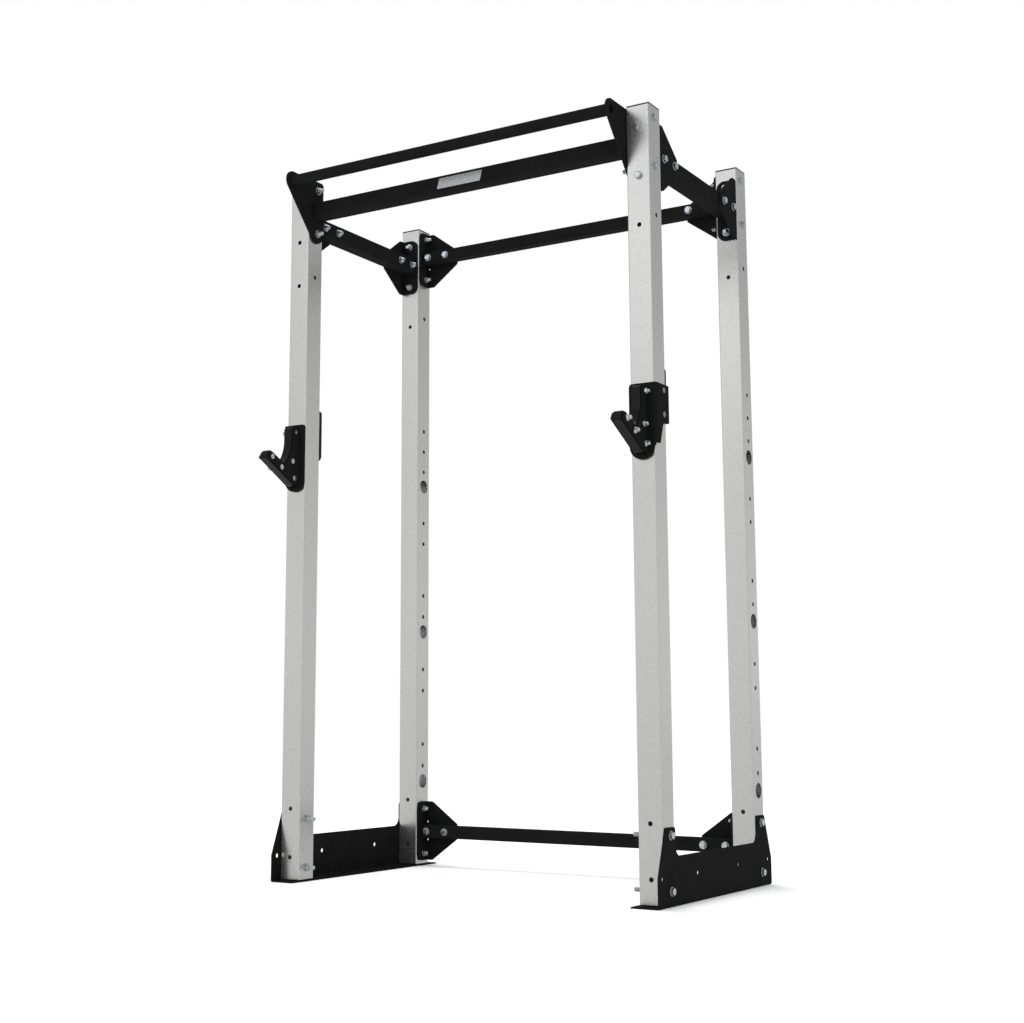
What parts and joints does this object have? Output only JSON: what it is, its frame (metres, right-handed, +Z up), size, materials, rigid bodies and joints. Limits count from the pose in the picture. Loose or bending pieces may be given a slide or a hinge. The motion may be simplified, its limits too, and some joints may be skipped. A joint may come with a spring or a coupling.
{
  "type": "power cage",
  "caption": "Open steel power cage: box-section uprights on L-shaped base plates, bolted crossmembers, a front pull-up bar and sliding J-cups that hold a barbell.",
  "frame": {"origin": "on the floor, in the middle of the whole footprint, so that the uprights' middle is 60 mm behind it", "axes": "+X to the cage's right side, -Y out of the front where the pull-up bar and J-cups are, +Z up"},
  "size_m": [1.266, 0.8904, 2.15],
  "materials": {
    "galvanised_steel": "hot-dip galvanised, fine mottled grain",
    "black_coated_steel": "satin black powder coat",
    "zinc_plated": "bright zinc plate",
    "hook_plastic": "semi-gloss black",
    "wear_plastic": "matt black",
    "cap_plastic": "matt dark grey"
  },
  "bodies": {
    "frame": {"badge_plate": "galvanised_steel", "badge_rivets": "zinc_plated", "front_base_bolts": "zinc_plated", "front_beam": "black_coated_steel", "hex_nuts": "zinc_plated", "left_base_plate": "black_coated_steel", "left_front_side_bracket": "black_coated_steel", "left_front_upright": "galvanised_steel", "left_pull_up_plate": "black_coated_steel", "left_rear_low_bracket": "black_coated_steel", "left_rear_side_bracket": "black_coated_steel", "left_rear_top_bracket": "black_coated_steel", "left_rear_upright": "galvanised_steel", "left_side_beam": "black_coated_steel", "post_caps": "cap_plastic", "pull_up_bar": "black_coated_steel", "rear_base_bolts": "zinc_plated", "rear_beam_bolts": "zinc_plated", "rear_low_beam": "black_coated_steel", "rear_top_beam": "black_coated_steel", "right_base_plate": "black_coated_steel", "right_front_side_bracket": "black_coated_steel", "right_front_upright": "galvanised_steel", "right_pull_up_plate": "black_coated_steel", "right_rear_low_bracket": "black_coated_steel", "right_rear_side_bracket": "black_coated_steel", "right_rear_top_bracket": "black_coated_steel", "right_rear_upright": "galvanised_steel", "right_side_beam": "black_coated_steel", "side_beam_bolts": "zinc_plated", "upright_bolts_x": "zinc_plated", "upright_bolts_y": "zinc_plated", "washers": "zinc_plated"},
    "left_j_cup": {"left_cup_bracket": "black_coated_steel", "left_cup_hook_core": "hook_plastic", "left_cup_hook_nuts": "zinc_plated", "left_cup_hook_screws": "zinc_plated", "left_cup_inner_cheek": "black_coated_steel", "left_cup_liner": "wear_plastic", "left_cup_liner_screws": "zinc_plated", "left_cup_outer_cheek": "black_coated_steel", "left_cup_pad_screws": "zinc_plated", "left_cup_rear_pad": "wear_plastic"},
    "right_j_cup": {"right_cup_bracket": "black_coated_steel", "right_cup_hook_core": "hook_plastic", "right_cup_hook_nuts": "zinc_plated", "right_cup_hook_screws": "zinc_plated", "right_cup_inner_cheek": "black_coated_steel", "right_cup_liner": "wear_plastic", "right_cup_liner_screws": "zinc_plated", "right_cup_outer_cheek": "black_coated_steel", "right_cup_pad_screws": "zinc_plated", "right_cup_rear_pad": "wear_plastic"}
  },
  "joints": [
    {"name": "left_cup_height", "type": "slide", "parent": "frame", "child": "left_j_cup", "axis": [0, 0, 1], "range_m": [-0.985, 0.495]},
    {"name": "right_cup_height", "type": "slide", "parent": "frame", "child": "right_j_cup", "axis": [0, 0, 1], "range_m": [-0.985, 0.495]}
  ]
}
